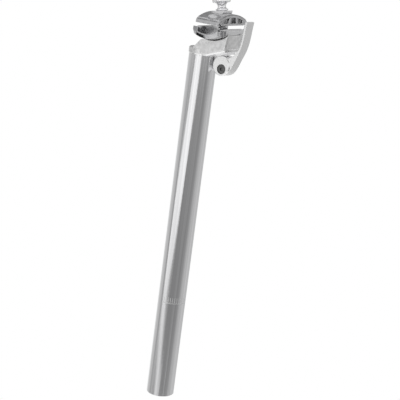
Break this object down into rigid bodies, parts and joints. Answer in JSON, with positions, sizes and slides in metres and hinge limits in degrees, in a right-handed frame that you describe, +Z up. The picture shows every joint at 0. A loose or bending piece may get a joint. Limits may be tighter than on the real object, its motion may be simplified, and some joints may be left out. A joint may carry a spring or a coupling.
{
  "type": "bicycle seatpost",
  "caption": "Round alloy seatpost with a forged head, a tilting saddle-rail clamp and a cam lever that draws the clamp down through a bolt with a finger nut.",
  "frame": {"origin": "on the tube's axis at its lower end", "axes": "+Z up the post, +X to the rear of the bicycle, +Y to its left"},
  "size_m": [0.0612, 0.052, 0.4019],
  "materials": {
    "tube_alloy": "polished lengthwise, with fine draw lines",
    "head_alloy": "fine blasted",
    "clamp_alloy": "polished forging",
    "cap_alloy": "satin forging",
    "washer_steel": "turned and plated",
    "bolt_steel": "plated",
    "nut_chrome": "bright plated",
    "lever_alloy": "satin forging, brushed along the arm",
    "pivot_steel": "black oxide",
    "spring_steel": "drawn wire"
  },
  "bodies": {
    "root": {"post_tube": "tube_alloy", "head": "head_alloy", "draw_bolt": "bolt_steel", "swivel_washer": "washer_steel", "pivot_sleeve": "pivot_steel", "pivot_screw": "pivot_steel", "cam_pad": "washer_steel", "lift_spring": "spring_steel"},
    "saddle_clamp": {"lower_clamp": "clamp_alloy", "upper_clamp": "cap_alloy"},
    "lever": {"cam_lever": "lever_alloy"},
    "nut": {"thumb_nut": "nut_chrome"}
  },
  "joints": [
    {"name": "saddle_tilt", "type": "hinge", "parent": "root", "child": "saddle_clamp", "pos_m": [0.01418, 0, 0.3885], "axis": [0, 1, 0], "range_deg": [-18, 2]},
    {"name": "lever_swing", "type": "hinge", "parent": "root", "child": "lever", "pos_m": [0.026, 0, 0.3356], "axis": [0, 1, 0], "range_deg": [0, 140]},
    {"name": "nut_spin", "type": "hinge", "parent": "root", "child": "nut", "pos_m": [0.01418, 0, 0.3885], "axis": [-0.2181, 0, 0.9759], "continuous": true}
  ]
}
